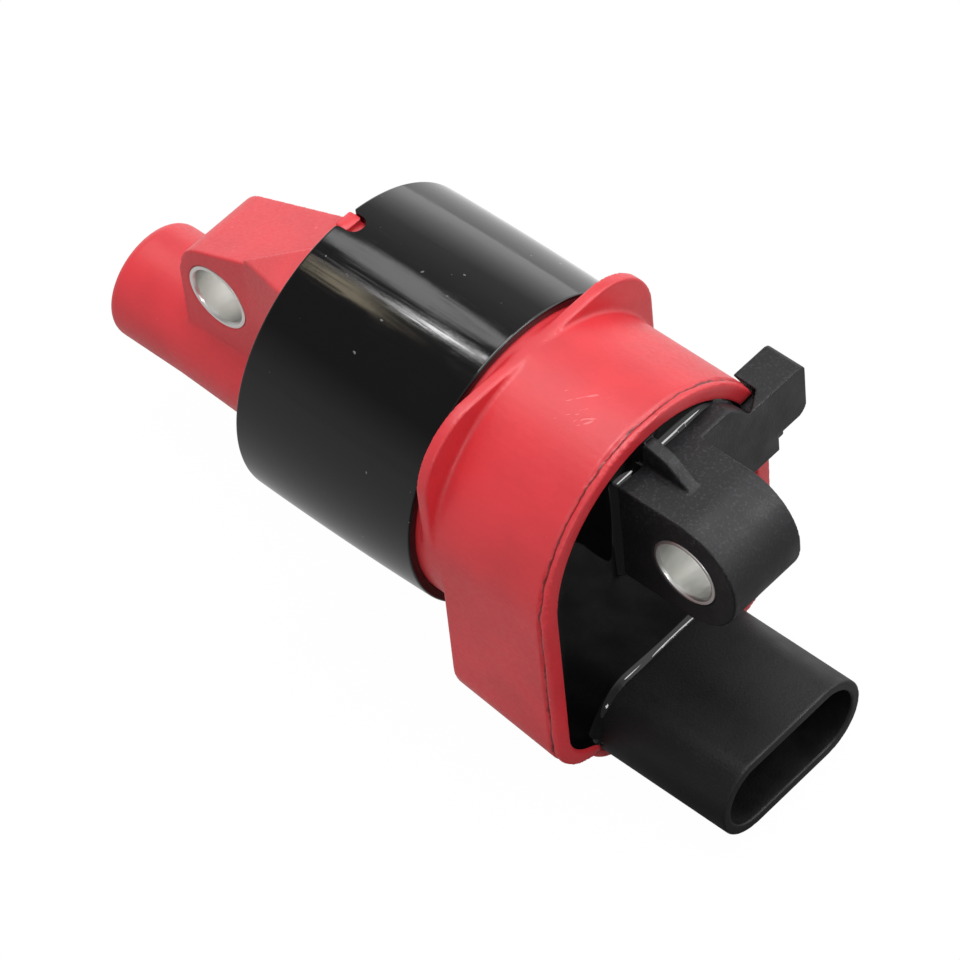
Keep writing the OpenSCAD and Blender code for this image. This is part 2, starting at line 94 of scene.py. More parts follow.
# Places read from the frame
SLEEVE_R = box_mm("outer_core")[1][2]
SLEEVE_LEN = box_mm("outer_core")[1][0]
BORE_R = box_mm("winding_resin")[1][2]
RIM_X = box_mm("housing")[1][0]
POT_TOP = box_mm("potting")[1][0]
POT_FLOOR = box_mm("potting")[0][0]
POT_BOTTOM = box_mm("potting")[0][2]
EAR_HALF = box_mm("tower_bushing")[1][1]
BLADE_HALF = 0.4
SHROUD_Z = box_mm("signal_pin")[0][2] + BLADE_HALF

# Places that follow the part's own sizes
SLEEVE_WALL = 1.4
SLIT_W = 2.4
NOTCH_Y = 0.55
NOTCH_W = 3.1
NOTCH_LEN = 3.3
ARM_BOTTOM, ARM_TOP = -2.7, 14.6
RIB_Y, RIB_HALF, RIB_TOP = -0.55, 0.95, 18.4
WING_Y, WING_HALF, WING_BOTTOM = 12.0, 7.0, -1.0
SHROUD_HALF_FLAT, SHROUD_R = 7.0, 6.5
POT_CORNER_R = 6.5
BOLT_BORE_R = 4.3

# Small differences from the CAD shapes, as the real pieces have them
SHEET_CROWN = 0.2
KEY_DROP = 0.45
GROOVE_BACK, GROOVE_W, GROOVE_DEPTH = 1.0, 0.2, 0.4
LIP_BACK, LIP_HEIGHT = 0.75, 0.1


# --- small tools -------------------------------------------------------------------------


def linear(code):
    """Linear RGBA of an sRGB hex code."""
    parts = [int(code[i : i + 2], 16) / 255 for i in (1, 3, 5)]
    return [c / 12.92 if c <= 0.04045 else ((c + 0.055) / 1.055) ** 2.4 for c in parts] + [1.0]


def shade(colour, factor):
    """A linear colour made lighter or darker by a factor."""
    return [c * factor for c in colour[:3]] + [1.0]


def at(x, y, z):
    """A point of the coil's own frame, in the CAD frame's metres."""
    return Vector(ORIGIN + np.array([x, y, z]) * MM)


def place(mesh):
    """Moves a mesh drawn in the coil's own frame into the CAD frame."""
    mesh.transform(Matrix.Translation(Vector(ORIGIN)) @ Matrix.Scale(MM, 4))
    mesh.update()


def new_piece(name, mesh, material, node):
    """A finished piece that stands for a CAD node and rides with the coil."""
    piece = bpy.data.objects.new(name, mesh)
    bpy.context.collection.objects.link(piece)
    mesh.materials.clear()
    mesh.materials.append(material)
    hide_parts(node)
    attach(piece, "root")


def bake(piece):
    """Applies a piece's modifiers and clears them."""
    evaluated = piece.evaluated_get(bpy.context.evaluated_depsgraph_get())
    mesh = bpy.data.meshes.new_from_object(evaluated)
    piece.modifiers.clear()
    piece.data = mesh
    return mesh


def mesh_from(name, vertices, faces):
    """A mesh of plain vertices and faces."""
    mesh = bpy.data.meshes.new(name)
    mesh.from_pydata([tuple(v) for v in vertices], [], faces)
    mesh.validate()
    return mesh


def outward(mesh):
    """Turns every face of a closed mesh outwards."""
    tidy = bmesh.new()
    tidy.from_mesh(mesh)
    bmesh.ops.recalc_face_normals(tidy, faces=tidy.faces)
    tidy.to_mesh(mesh)
    tidy.free()
    return mesh


def smooth(mesh, degrees):
    """Shades a mesh smooth, but for edges that turn by more than some degrees."""
    mesh.shade_smooth()
    mesh.set_sharp_from_angle(angle=math.radians(degrees))


def rounded_loop(corners, radius, steps):
    """A closed outline whose corners are arcs. radius is one number or one per corner."""
    radii = radius if isinstance(radius, list) else [radius] * len(corners)
    out = []
    for i, corner in enumerate(corners):
        p = np.array(corner, float)
        if radii[i] <= 0:
            out.append(p)
            continue
        a = np.array(corners[i - 1], float) - p
        b = np.array(corners[(i + 1) % len(corners)], float) - p
        a, b = a / np.linalg.norm(a), b / np.linalg.norm(b)
        half = math.acos(max(-1.0, min(1.0, float(a @ b)))) / 2
        cut = radii[i] / math.tan(half)
        middle = p + (a + b) / np.linalg.norm(a + b) * radii[i] / math.sin(half)
        start, end = p + a * cut - middle, p + b * cut - middle
        turn = math.atan2(start[0] * end[1] - start[1] * end[0], float(start @ end))
        for k in range(steps + 1):
            cos, sin = math.cos(turn * k / steps), math.sin(turn * k / steps)
            out.append(middle + np.array([start[0] * cos - start[1] * sin,
                                          start[0] * sin + start[1] * cos]))
    return out


def lathe(name, loop, segments, place_point, gap=0.0):
    """Turns a closed loop of (along, radius) points. gap leaves a flat-ended slit, in radians."""
    whole = gap <= 0
    count = segments if whole else segments + 1
    span = 2 * math.pi - gap
    vertices, faces, n = [], [], len(loop)
    for i in range(count):
        a = gap / 2 + span * i / segments
        vertices += [place_point(p[0], p[1], a) for p in loop]
    for i in range(segments):
        j = (i + 1) % count
        faces += [(i * n + k, i * n + (k + 1) % n, j * n + (k + 1) % n, j * n + k)
                  for k in range(n)]
    if not whole:
        faces += [tuple(range(n - 1, -1, -1)), tuple(range(segments * n, segments * n + n))]
    return outward(mesh_from(name, vertices, faces))


# --- materials ---------------------------------------------------------------------------

# Length of one band of a wave texture at scale 1
WAVE_BAND = 0.314


def put(tree, kind, inputs=(), **settings):
    """Adds a node with its settings, and sets or links its inputs, given by name or in order.

    A node given as an input is linked from its first output in use.
    """
    node = tree.nodes.new("ShaderNode" + kind)
    for key, value in settings.items():
        setattr(node, key, value)
    for key, value in inputs.items() if isinstance(inputs, dict) else enumerate(inputs):
        if isinstance(value, bpy.types.Node):
            value = next(o for o in value.outputs if not o.is_unavailable)
        if isinstance(value, bpy.types.NodeSocket):
            tree.links.new(value, node.inputs[key])
        else:
            node.inputs[key].default_value = value
    return node


def new_material(name, colour):
    """A new material, its empty tree and the surface point in millimetres."""
    material = bpy.data.materials.new(name)
    material.use_nodes = True
    material.diffuse_color = colour
    tree = material.node_tree
    tree.nodes.clear()
    spot = put(tree, "TexCoord").outputs["Object"]
    mm = put(tree, "VectorMath", [spot, [1 / MM] * 3], operation="MULTIPLY")
    return material, tree, mm


def red_moulded_polyester(colour):
    """Glass-filled polyester, moulded. Satin, with slight cloudiness where glass nears the skin."""
    m, t, mm = new_material("red_polyester_moulded", colour)
    # clouds 9 mm across, as the melt swirls
    cloud = put(t, "TexNoise", {"Vector": mm, "Scale": 1 / 9.0, "Detail": 3.0})
    cloud = put(t, "MapRange", [cloud, 0.35, 0.65, 0, 1])
    skin = put(t, "Mix", {"Factor": cloud, "A": shade(colour, 0.93), "B": shade(colour, 1.06)},
               data_type="RGBA")
    # glass fibres 0.3 mm long, drawn 0.7 mm by 0.45 mm so that they show
    flow = put(t, "VectorMath", [mm, (1 / 1.6, 1, 1)], operation="MULTIPLY")
    fibre = put(t, "TexNoise", {"Vector": flow, "Scale": 1 / 0.45, "Detail": 3.0})
    # short pale scuffs 2.5 mm by 0.4 mm where the crown of the box has been handled, in one patch
    # 9 mm across
    turned = put(t, "VectorRotate", {"Vector": mm, "Angle": math.radians(-48)},
                 rotation_type="Z_AXIS")
    turned = put(t, "VectorMath", [turned, (1 / 6.0, 1, 1)], operation="MULTIPLY")
    scuff = put(t, "TexNoise", {"Vector": turned, "Scale": 1 / 0.42, "Detail": 1.0,
                                "Roughness": 0.4})
    patch = tuple(ORIGIN / MM + [44.5, -4.0, 20.8])
    away = put(t, "VectorMath", [mm, patch], operation="DISTANCE")
    scuff = put(t, "Math", [put(t, "MapRange", [away, 1.0, 5.5, 0.17, 0]), scuff], operation="ADD")
    scuff = put(t, "MapRange", [scuff, 0.79, 0.83, 0, 0.5])
    skin = put(t, "Mix", {"Factor": scuff, "A": skin, "B": linear("#f18184")}, data_type="RGBA")
    # the closing line of the mould, 0.2 mm wide and 1 mm behind the rim, is darkened with painted
    # shade of its groove and the dirt it holds; it wanders by 0.15 mm
    wander = put(t, "TexNoise", {"Vector": mm, "Scale": 1 / 2.5, "Detail": 3.0})
    wander = put(t, "MapRange", [wander, 0.3, 0.7, -0.15, 0.15])
    line_x = float(ORIGIN[0] / MM + RIM_X - 0.95)
    off = put(t, "Math", [put(t, "SeparateXYZ", [mm]), -line_x], operation="ADD")
    off = put(t, "Math", [put(t, "Math", [off, wander], operation="ADD")], operation="ABSOLUTE")
    # painted shade and dirt: 0.9 on the line, gone 0.24 mm from it
    groove_shade_and_dirt = put(t, "MapRange", [off, 0.08, 0.24, 0.9, 0])
    skin = put(t, "Mix", {"Factor": groove_shade_and_dirt, "A": skin, "B": shade(colour, 0.14)}, data_type="RGBA")
    body = put(t, "BsdfPrincipled", {
        "Base Color": skin, "IOR": 1.53, "Specular IOR Level": 0.62,
        "Roughness": put(t, "MapRange", [fibre, 0.3, 0.7, 0.36, 0.50]),
        "Normal": put(t, "Bump", {"Height": fibre, "Distance": 0.018 * MM})})
    put(t, "OutputMaterial", [body])
    return m


def black_baked_lacquer(colour):
    """Rolled steel sheet under baked lacquer. Near-mirror black, with orange peel and rub marks."""
    m, t, mm = new_material("black_lacquer_baked", colour)
    # orange peel 2.2 mm across
    peel = put(t, "TexNoise", {"Vector": mm, "Scale": 1 / 2.2, "Detail": 1.0})
    # rub marks run along the coil, 12 mm by 0.3 mm, in worn patches 7 mm across
    along = put(t, "VectorMath", [mm, (1 / 40.0, 1, 1)], operation="MULTIPLY")
    rub = put(t, "TexNoise", {"Vector": along, "Scale": 1 / 0.3, "Detail": 3.0, "Roughness": 0.6})
    worn = put(t, "TexNoise", {"Vector": mm, "Scale": 1 / 7.0})
    rub = put(t, "Math", [put(t, "MapRange", [rub, 0.45, 0.75, 0, 1]),
                          put(t, "MapRange", [worn, 0.4, 0.62, 0, 1])], operation="MULTIPLY")
    # dust specks 0.3 mm across: the peaks of a 0.8 mm noise
    speck = put(t, "TexNoise", {"Vector": mm, "Scale": 1 / 0.8, "Detail": 0.0})
    speck = put(t, "MapRange", [speck, 0.855, 0.875, 0, 1])
    skin = put(t, "Mix", {"Factor": speck, "A": colour, "B": linear("#6a6a6a")}, data_type="RGBA")
    bump = put(t, "Bump", {"Height": peel, "Distance": 0.006 * MM})
    bump = put(t, "Bump", {"Height": rub, "Distance": 0.0018 * MM, "Normal": bump})
    body = put(t, "BsdfPrincipled", {
        "Base Color": skin, "IOR": 1.52, "Normal": bump,
        "Roughness": put(t, "MapRange", [rub, 0, 1, 0.09, 0.24])})
    put(t, "OutputMaterial", [body])
    return m


def black_moulded_nylon(colour):
    """Glass-filled nylon, moulded against a spark-eroded tool. Dull black grain; on its high parts,
    frost and painted sparkle.
    """
    m, t, mm = new_material("black_nylon_moulded", colour)
    # eroded grain 0.12 mm, drawn 0.4 mm so that it shows; clouds 5 mm across in its gloss
    grain = put(t, "TexNoise", {"Vector": mm, "Scale": 1 / 0.4, "Detail": 3.0, "Roughness": 0.65})
    cloud = put(t, "TexNoise", {"Vector": mm, "Scale": 1 / 5.0})
    # handling frosts the ear and its rib, which stand high, and their lightened specks are partly
    # painted sparkle from the light overhead; the shroud below stays dark
    height = put(t, "SeparateXYZ", [mm]).outputs["Z"]
    frost_and_painted_sparkle = put(t, "Math", [put(t, "MapRange", [grain, 0.54, 0.68, 0, 1]),
                            put(t, "MapRange", [height, 6.0, 14.0, 0.1, 1])], operation="MULTIPLY")
    # frost and painted sparkle: specks 5.5 times lighter on the high parts
    skin = put(t, "Mix", {"Factor": frost_and_painted_sparkle, "A": colour, "B": shade(colour, 5.5)}, data_type="RGBA")
    body = put(t, "BsdfPrincipled", {
        "Base Color": skin, "IOR": 1.53, "Specular IOR Level": 0.32,
        "Roughness": put(t, "MapRange", [cloud, 0.35, 0.65, 0.42, 0.56]),
        "Normal": put(t, "Bump", {"Height": grain, "Distance": 0.035 * MM})})
    put(t, "OutputMaterial", [body])
    return m


def black_cast_epoxy(colour):
    """Potting epoxy, cast and cured. Wet-looking black, level but for faint flow."""
    m, t, mm = new_material("black_epoxy_cast", colour)
    # flow 6 mm across, and patches 3 mm across in the gloss
    flow = put(t, "TexNoise", {"Vector": mm, "Scale": 1 / 6.0, "Detail": 1.0})
    gloss = put(t, "TexNoise", {"Vector": mm, "Scale": 1 / 3.0})
    body = put(t, "BsdfPrincipled", {
        "Base Color": colour, "IOR": 1.55, "Specular IOR Level": 0.35,
        "Roughness": put(t, "MapRange", [gloss, 0.3, 0.7, 0.03, 0.09]),
        "Normal": put(t, "Bump", {"Height": flow, "Distance": 0.05 * MM})})
    put(t, "OutputMaterial", [body])
    return m


def turned_aluminium(colour):
    """Aluminium tube, turned and bored. Bright satin metal, with fine rings left by the tool."""
    m, t, mm = new_material("aluminium_turned", colour)
    # feed marks 0.08 mm apart, drawn 0.25 mm so that they show; they run round the bolt's line
    round_y = put(t, "VectorMath", [mm, (1 / 400.0, 1, 1 / 400.0)], operation="MULTIPLY")
    rings = put(t, "TexNoise", {"Vector": round_y, "Scale": 1 / 0.25, "Detail": 1.0})
    body = put(t, "BsdfPrincipled", {
        "Base Color": colour, "Metallic": 1.0,
        "Roughness": put(t, "MapRange", [rings, 0.3, 0.7, 0.30, 0.40]),
        "Normal": put(t, "Bump", {"Height": rings, "Distance": 0.002 * MM})})
    put(t, "OutputMaterial", [body])
    return m


def plain_moulding(name, colour, grain_mm, roughness):
    """Inner moulding, rubber or fired piece: an even, dull skin with grain_mm grain."""
    m, t, mm = new_material(name, colour)
    grain = put(t, "TexNoise", {"Vector": mm, "Scale": 1 / grain_mm})
    tone = put(t, "MapRange", [grain, 0.3, 0.7, 0, 1])
    skin = put(t, "Mix", {"Factor": tone, "A": shade(colour, 0.85), "B": shade(colour, 1.12)},
               data_type="RGBA")
    body = put(t, "BsdfPrincipled", {
        "Base Color": skin, "IOR": 1.5, "Roughness": roughness,
        "Normal": put(t, "Bump", {"Height": grain, "Distance": 0.06 * grain_mm * MM})})
    put(t, "OutputMaterial", [body])
    return m


def laminated_steel(colour):
    """Stacked silicon-steel strips. Grey metal with a dark line at each 0.35 mm sheet."""
    m, t, mm = new_material("silicon_steel_laminated", colour)
    bands = put(t, "TexWave", {"Vector": mm, "Scale": WAVE_BAND / 0.35},
                bands_direction="Y").outputs["Fac"]
    tone = put(t, "MapRange", [bands, 0, 0.25, 0, 1])
    skin = put(t, "Mix", {"Factor": tone, "A": shade(colour, 0.25), "B": colour},
               data_type="RGBA")
    body = put(t, "BsdfPrincipled", {
        "Base Color": skin, "Metallic": 1.0, "Roughness": 0.38,
        "Normal": put(t, "Bump", {"Height": bands, "Distance": 0.02 * MM})})
    put(t, "OutputMaterial", [body])
    return m


def ground_magnet(colour):
    """Sintered magnet with ground faces. Dark grey, faintly streaked by the wheel."""
    m, t, mm = new_material("magnet_sintered_ground", colour)
    # wheel marks 6 mm by 0.2 mm
    across = put(t, "VectorMath", [mm, (1, 1 / 30.0, 1)], operation="MULTIPLY")
    marks = put(t, "TexNoise", {"Vector": across, "Scale": 1 / 0.2})
    tone = put(t, "MapRange", [marks, 0.3, 0.7, 0, 1])
    skin = put(t, "Mix", {"Factor": tone, "A": shade(colour, 0.8), "B": shade(colour, 1.3)},
               data_type="RGBA")
    body = put(t, "BsdfPrincipled", {
        "Base Color": skin, "Metallic": 0.6, "Roughness": 0.42,
        "Normal": put(t, "Bump", {"Height": marks, "Distance": 0.005 * MM})})
    put(t, "OutputMaterial", [body])
    return m


def wound_copper(colour):
    """Enamelled copper wire laid side by side. Warm metal under varnish, grooved every 0.5 mm."""
    m, t, mm = new_material("copper_wire_enamelled", colour)
    turns = put(t, "TexWave", {"Vector": mm, "Scale": WAVE_BAND / 0.5},
                bands_direction="X").outputs["Fac"]
    skin = put(t, "Mix", {"Factor": turns, "A": shade(colour, 0.35), "B": colour},
               data_type="RGBA")
    body = put(t, "BsdfPrincipled", {
        "Base Color": skin, "Metallic": 1.0, "Roughness": 0.28, "Coat Weight": 0.4,
        "Normal": put(t, "Bump", {"Height": turns, "Distance": 0.12 * MM})})
    put(t, "OutputMaterial", [body])
    return m


def stamped_metal(name, colour, roughness):
    """Stamped and plated sheet. Bright, with faint drawing lines along the strip."""
    m, t, mm = new_material(name, colour)
    # drawing lines 7 mm by 0.12 mm
    along = put(t, "VectorMath", [mm, (1 / 60.0, 1, 1)], operation="MULTIPLY")
    lines = put(t, "TexNoise", {"Vector": along, "Scale": 1 / 0.12})
    body = put(t, "BsdfPrincipled", {
        "Base Color": colour, "Metallic": 1.0,
        "Roughness": put(t, "MapRange", [lines, 0.3, 0.7, 0.7 * roughness, 1.3 * roughness]),
        "Normal": put(t, "Bump", {"Height": lines, "Distance": 0.003 * MM})})
    put(t, "OutputMaterial", [body])
    return m


def wound_film(colour):
    """Polyimide film wound on itself. Amber and glossy, with a step at each 4 mm wrap."""
    m, t, mm = new_material("polyimide_film_wound", colour)
    wraps = put(t, "TexWave", {"Vector": mm, "Scale": WAVE_BAND / 4.0, "Distortion": 0.4},
                bands_direction="X", wave_profile="SAW").outputs["Fac"]
    skin = put(t, "Mix", {"Factor": wraps, "A": shade(colour, 0.7), "B": colour},
               data_type="RGBA")
    body = put(t, "BsdfPrincipled", {
        "Base Color": skin, "IOR": 1.6, "Roughness": 0.18, "Transmission Weight": 0.15,
        "Normal": put(t, "Bump", {"Height": wraps, "Distance": 0.05 * MM})})
    put(t, "OutputMaterial", [body])
    return m


def inner_finishes(c):
    """Materials of the pieces inside, by the record's slot."""
    return {
        "core_steel": laminated_steel(c.core_steel),
        "magnet": ground_magnet(c.magnet),
        "buffer_rubber": plain_moulding("rubber_moulded", c.rubber, 0.3, 0.7),
        "amber_film": wound_film(c.film),
        "bobbin_cream": plain_moulding("polyester_bobbin_moulded", c.bobbin, 0.4, 0.45),
        "bobbin_black": plain_moulding("nylon_bobbin_moulded", c.cover, 0.4, 0.5),
        "enamelled_copper": wound_copper(c.copper),
        "tinned_brass": stamped_metal("brass_tinned_stamped", c.tin, 0.25),
        "component_black": plain_moulding("component_epoxy_moulded", c.cover, 0.15, 0.55),
        "component_tan": plain_moulding("chip_ceramic_fired", c.chip, 0.1, 0.5),
        "spreader_aluminium": stamped_metal("aluminium_sheet_stamped", c.aluminium, 0.35),
        "board_ceramic": plain_moulding("alumina_board_fired", c.ceramic, 0.2, 0.6),
    }


# --- settings ----------------------------------------------------------------------------


def size(name, description, default, top):
    """A number that a user may change."""
    return FloatProperty(name=name, description=description, default=default, min=0.0, max=top)


def passes(name, description, default):
    """A count of smoothing passes."""
    return IntProperty(name=name, description=description, default=default, min=0, max=20)


def paint(name, description, code):
    """A colour that a user may change, given as sRGB hex."""
    return FloatVectorProperty(name=name, description=description, default=linear(code), size=4,
                               min=0.0, max=1.0, subtype="COLOR")


class CoilSizes(bpy.types.PropertyGroup):
    """Sizes of the finished pieces' own details, in millimetres"""

    skin: size("Skin", "Face size of the moulded pieces, in millimetres", 0.26, 2.0)
    housing_soften: passes("Housing softening", "Passes that round the housing's edges", 5)
    cover_soften: passes("Cover softening", "Passes that round the cover's edges", 2)
    sheet_edge: size("Sheet edge", "Rounding of the sleeve's cut edges, in millimetres", 0.3, 0.6)
    notch_entry: size("Notch entry", "Rounding at the notch's mouth, in millimetres", 0.9, 1.5)
    wall_climb: size("Resin at walls", "How far the resin climbs the housing wall, in millimetres",
                     0.75, 1.1)
    stem_climb: size("Resin at stems", "How far the resin climbs what stands in it, in millimetres",
                     1.1, 3.0)
    climb_reach: size("Resin reach", "Width of the resin's curve beside a wall, in millimetres",
                      0.46, 3.0)


class CoilColours(bpy.types.PropertyGroup):
    """Colours of the coil's materials"""

    housing: paint("Housing", "Red of the housing", "#d72d36")
    sleeve: paint("Sleeve", "Lacquer on the sleeve", "#080708")
    cover: paint("Cover", "Black of the connector cover", "#111114")
    epoxy: paint("Epoxy", "Potting resin", "#040405")
    aluminium: paint("Aluminium", "Bushings and heat spreader", "#f3f3f0")
    core_steel: paint("Core steel", "Laminations of the centre core", "#a7a8ab")
    magnet: paint("Magnets", "Sintered magnets", "#4c4c50")
    rubber: paint("Rubber", "End buffers", "#1a1a1b")
    film: paint("Film", "Insulating film round the core", "#c8862a")
    bobbin: paint("Bobbin", "Secondary bobbin", "#e3dcc2")
    copper: paint("Copper", "Enamelled wire", "#b8603a")
    tin: paint("Tin", "Plated terminals", "#cfcdc8")
    chip: paint("Chip parts", "Capacitors and resistors", "#a88a5c")
    ceramic: paint("Board", "Ceramic board", "#e6e5de")


class StageSettings(bpy.types.PropertyGroup):
    """Strengths of the lights, the room and the floor"""

    ambient: size("Ambient", "Light from all round on the object", 0.76, 2.0)
    key: size("Key", "Strength of the overhead light, in watts", 4.7, 100.0)
    rear: size("Rear", "Radiance of the connector end's lights, in reflections", 17.0, 80.0)
    strips: size("Strips", "Radiance of the strip lights, in reflections", 1.0, 10.0)
    room_near: size("Room near", "Brightness of the room's near side, in reflections", 0.45, 4.0)
    room_far: size("Room far", "Brightness of the room's far side, in reflections", 2.0, 4.0)
    ceiling: size("Ceiling", "Brightness of the gap overhead, in reflections", 0.17, 1.0)
    floor_near: size("Floor near", "Brightness of the floor's near side, in reflections", 0.5, 4.0)
    floor_far: size("Floor far", "Brightness of the floor's far side, in reflections", 1.08, 4.0)
    floor_fade: size("Floor fade", "How far the floor is drawn towards white", 0.95, 1.0)


class CoilSettings(bpy.types.PropertyGroup):
    """All settings of the ignition coil"""

    sizes: PointerProperty(type=CoilSizes, name="Sizes", description="Sizes of the details")
    colours: PointerProperty(type=CoilColours, name="Colours", description="Material colours")
    stage: PointerProperty(type=StageSettings, name="Stage", description="Lights and floor")


def settings():
    """The coil's settings in the open scene."""
    return bpy.context.scene.ignition_coil


# --- moulded pieces ----------------------------------------------------------------------

# Most triangles in each moulding
HOUSING_TRIANGLES = 190000
COVER_TRIANGLES = 150000


def moulded_mesh(name, node, skin_mm, soften, triangles, shape=None):
    """Skins a CAD node in small even faces and relaxes them, which rounds edges as a mould does."""
    drawn = bmesh.new()
    drawn.from_mesh(frame["nodes"][node].data)
    mesh = bpy.data.meshes.new(name)
    drawn.to_mesh(mesh)
    drawn.free()
    mesh.transform(Matrix.Scale(1 / MM, 4) @ Matrix.Translation(-Vector(ORIGIN)))
    work = bpy.data.objects.new(name + "_work", mesh)
    bpy.context.collection.objects.link(work)
    skin = work.modifiers.new("skin", "REMESH")
    skin.mode = "VOXEL"
    skin.voxel_size = skin_mm * 1
    relax = work.modifiers.new("relax", "SMOOTH")
    relax.factor = 0.5
    relax.iterations = soften
    mesh = bake(work)
    if shape is not None:
        points = np.empty(len(mesh.vertices) * 3)
        normals = np.empty_like(points)
        mesh.vertices.foreach_get("co", points)
        mesh.vertex_normals.foreach_get("vector", normals)
        shaped = shape(points.reshape(-1, 3), normals.reshape(-1, 3))
        mesh.vertices.foreach_set("co", shaped.ravel())
        mesh.update()
    if len(mesh.polygons) * 2 > triangles:
        thin = work.modifiers.new("thin", "DECIMATE")
        thin.ratio = triangles / (len(mesh.polygons) * 2)
        mesh = bake(work)
    bpy.data.objects.remove(work)
    mesh.shade_smooth()
    place(mesh)
    return mesh


def waver(t, seed, size_mm):
    """Smooth one-dimensional noise, about -1 to 1, the same each run."""
    steps = np.random.default_rng(seed).uniform(-1, 1, 512)
    u = t / size_mm
    i = np.floor(u).astype(int)
    f = u - i
    f = f * f * (3 - 2 * f)
    return steps[i % 512] * (1 - f) + steps[(i + 1) % 512] * f


def rim_flash(points, normals):
    """Gives the housing's rim the groove and thin uneven lip left where the mould closes."""
    x, y, z = points.T
    # how far round the rim, over the round top and down the straight sides
    along = np.where(z > 0, np.arctan2(z, y) * 21.5, z + np.sign(y) * 60 + y)
    outer = (np.abs(normals[:, 0]) < 0.75) & (normals[:, 1] * y + normals[:, 2] * z > 0)
    uneven = 1 + 0.45 * waver(along, 3, 2.3) + 0.3 * waver(along, 4, 0.6)
    off_line = x - RIM_X + GROOVE_BACK + 0.08 * waver(along, 5, 3.0)
    groove = -GROOVE_DEPTH * np.exp(-((off_line / GROOVE_W) ** 2)) * np.clip(uneven, 0.3, 1.6)
    lip = LIP_HEIGHT * np.clip((x - RIM_X + LIP_BACK) / GROOVE_W, 0, 1) * uneven
    points = points + normals * np.where(outer, groove + lip, 0)[:, None]
    # the key sits a little below the sleeve's surface
    key_r = SLEEVE_R - KEY_DROP
    r = np.hypot(y, z)
    key = (x < NOTCH_LEN + 0.5) & (r > key_r) & (z > 0)
    points[key, 1:] *= (key_r / r[key])[:, None]
    return points


class COIL_OT_housing(bpy.types.Operator):
    """Moulded red housing: tower, ear, key, tube, flange and rear box in one piece"""

    bl_idname = "coil.housing"
    bl_label = "Housing"

    def execute(self, context):
        s = settings()
        mesh = moulded_mesh("housing_moulding", "housing", s.sizes.skin, s.sizes.housing_soften,
                            HOUSING_TRIANGLES, rim_flash)
        new_piece("housing_moulding", mesh, red_moulded_polyester(s.colours.housing),
                  "housing")
        return {"FINISHED"}


class COIL_OT_cover(bpy.types.Operator):
    """Moulded black cover: bolt arm, rib, guide block and connector shroud in one piece"""

    bl_idname = "coil.cover"
    bl_label = "Connector cover"

    def execute(self, context):
        s = settings()
        mesh = moulded_mesh("cover_moulding", "connector_cover", s.sizes.skin * 0.75,
                            s.sizes.cover_soften, COVER_TRIANGLES)
        new_piece("cover_moulding", mesh, black_moulded_nylon(s.colours.cover),
                  "connector_cover")
        return {"FINISHED"}


# --- sleeve ------------------------------------------------------------------------------


def barrel(x):
    """How far the rolled sheet falls away towards its ends, in millimetres."""
    return SHEET_CROWN * ((x - SLEEVE_LEN / 2) / (SLEEVE_LEN / 2)) ** 2


def notch_cutter(entry):
    """Closed block in the shape of the locating notch, with its mouth flared by entry."""
    half, end = NOTCH_W / 2, NOTCH_LEN - NOTCH_W / 2
    side = [(-1.0, half + entry)]
    for k in range(9):
        a = math.pi / 2 * k / 8
        side.append((entry * (1 - math.cos(a)), half + entry * (1 - math.sin(a))))
    for k in range(1, 13):
        a = math.pi / 2 * k / 12
        side.append((end + half * math.sin(a), half * math.cos(a)))
    outline = [(x, NOTCH_Y + h) for x, h in side]
    outline += [(x, NOTCH_Y - h) for x, h in reversed(side[:-1])]
    n = len(outline)
    points = [(x, y, z) for z in (SLEEVE_R - 4, SLEEVE_R + 2) for x, y in outline]
    faces = [tuple(range(n - 1, -1, -1)), tuple(range(n, 2 * n))]
    faces += [(k, (k + 1) % n, n + (k + 1) % n, n + k) for k in range(n)]
    return outward(mesh_from("notch_cutter", points, faces))


class COIL_OT_sleeve(bpy.types.Operator):
    """Rolled steel sleeve with rounded cut edges, a slit underneath and the locating notch"""

    bl_idname = "coil.sleeve"
    bl_label = "Sleeve"

    def execute(self, context):
        s = settings()
        inner, edge = SLEEVE_R - SLEEVE_WALL, s.sizes.sheet_edge
        corners = [(0, inner), (0, SLEEVE_R), (SLEEVE_LEN, SLEEVE_R), (SLEEVE_LEN, inner)]
        loop = rounded_loop(corners, edge, 5)
        rows = np.linspace(edge + 0.1, SLEEVE_LEN - edge - 0.1, 24)
        corner = len(loop) // 4
        loop = (loop[: 2 * corner] + [np.array([x, SLEEVE_R]) for x in rows]
                + loop[2 * corner :] + [np.array([x, inner]) for x in rows[::-1]])

        def crowned(x, r, a):
            return x, (r - barrel(x)) * math.sin(a), -(r - barrel(x)) * math.cos(a)

        mesh = lathe("sleeve_sheet", loop, 300, crowned, SLIT_W / SLEEVE_R)
        work = bpy.data.objects.new("sleeve_work", mesh)
        cutter = bpy.data.objects.new("cutter_work", notch_cutter(s.sizes.notch_entry))
        for o in (work, cutter):
            context.collection.objects.link(o)
        cut = work.modifiers.new("notch", "BOOLEAN")
        cut.operation, cut.solver, cut.object = "DIFFERENCE", "EXACT", cutter
        mesh = bake(work)
        bpy.data.objects.remove(work)
        bpy.data.objects.remove(cutter)
        if len(mesh.vertices) < 1000:
            raise RuntimeError("the notch cut left no sleeve")
        smooth(mesh, 40)
        place(mesh)
        new_piece("sleeve_sheet", mesh, black_baked_lacquer(s.colours.sleeve),
                  "outer_core")
        return {"FINISHED"}


# --- bushings ----------------------------------------------------------------------------

BORE_CHAMFER = 0.22
BORE_CHAMFER_LEN = 0.4


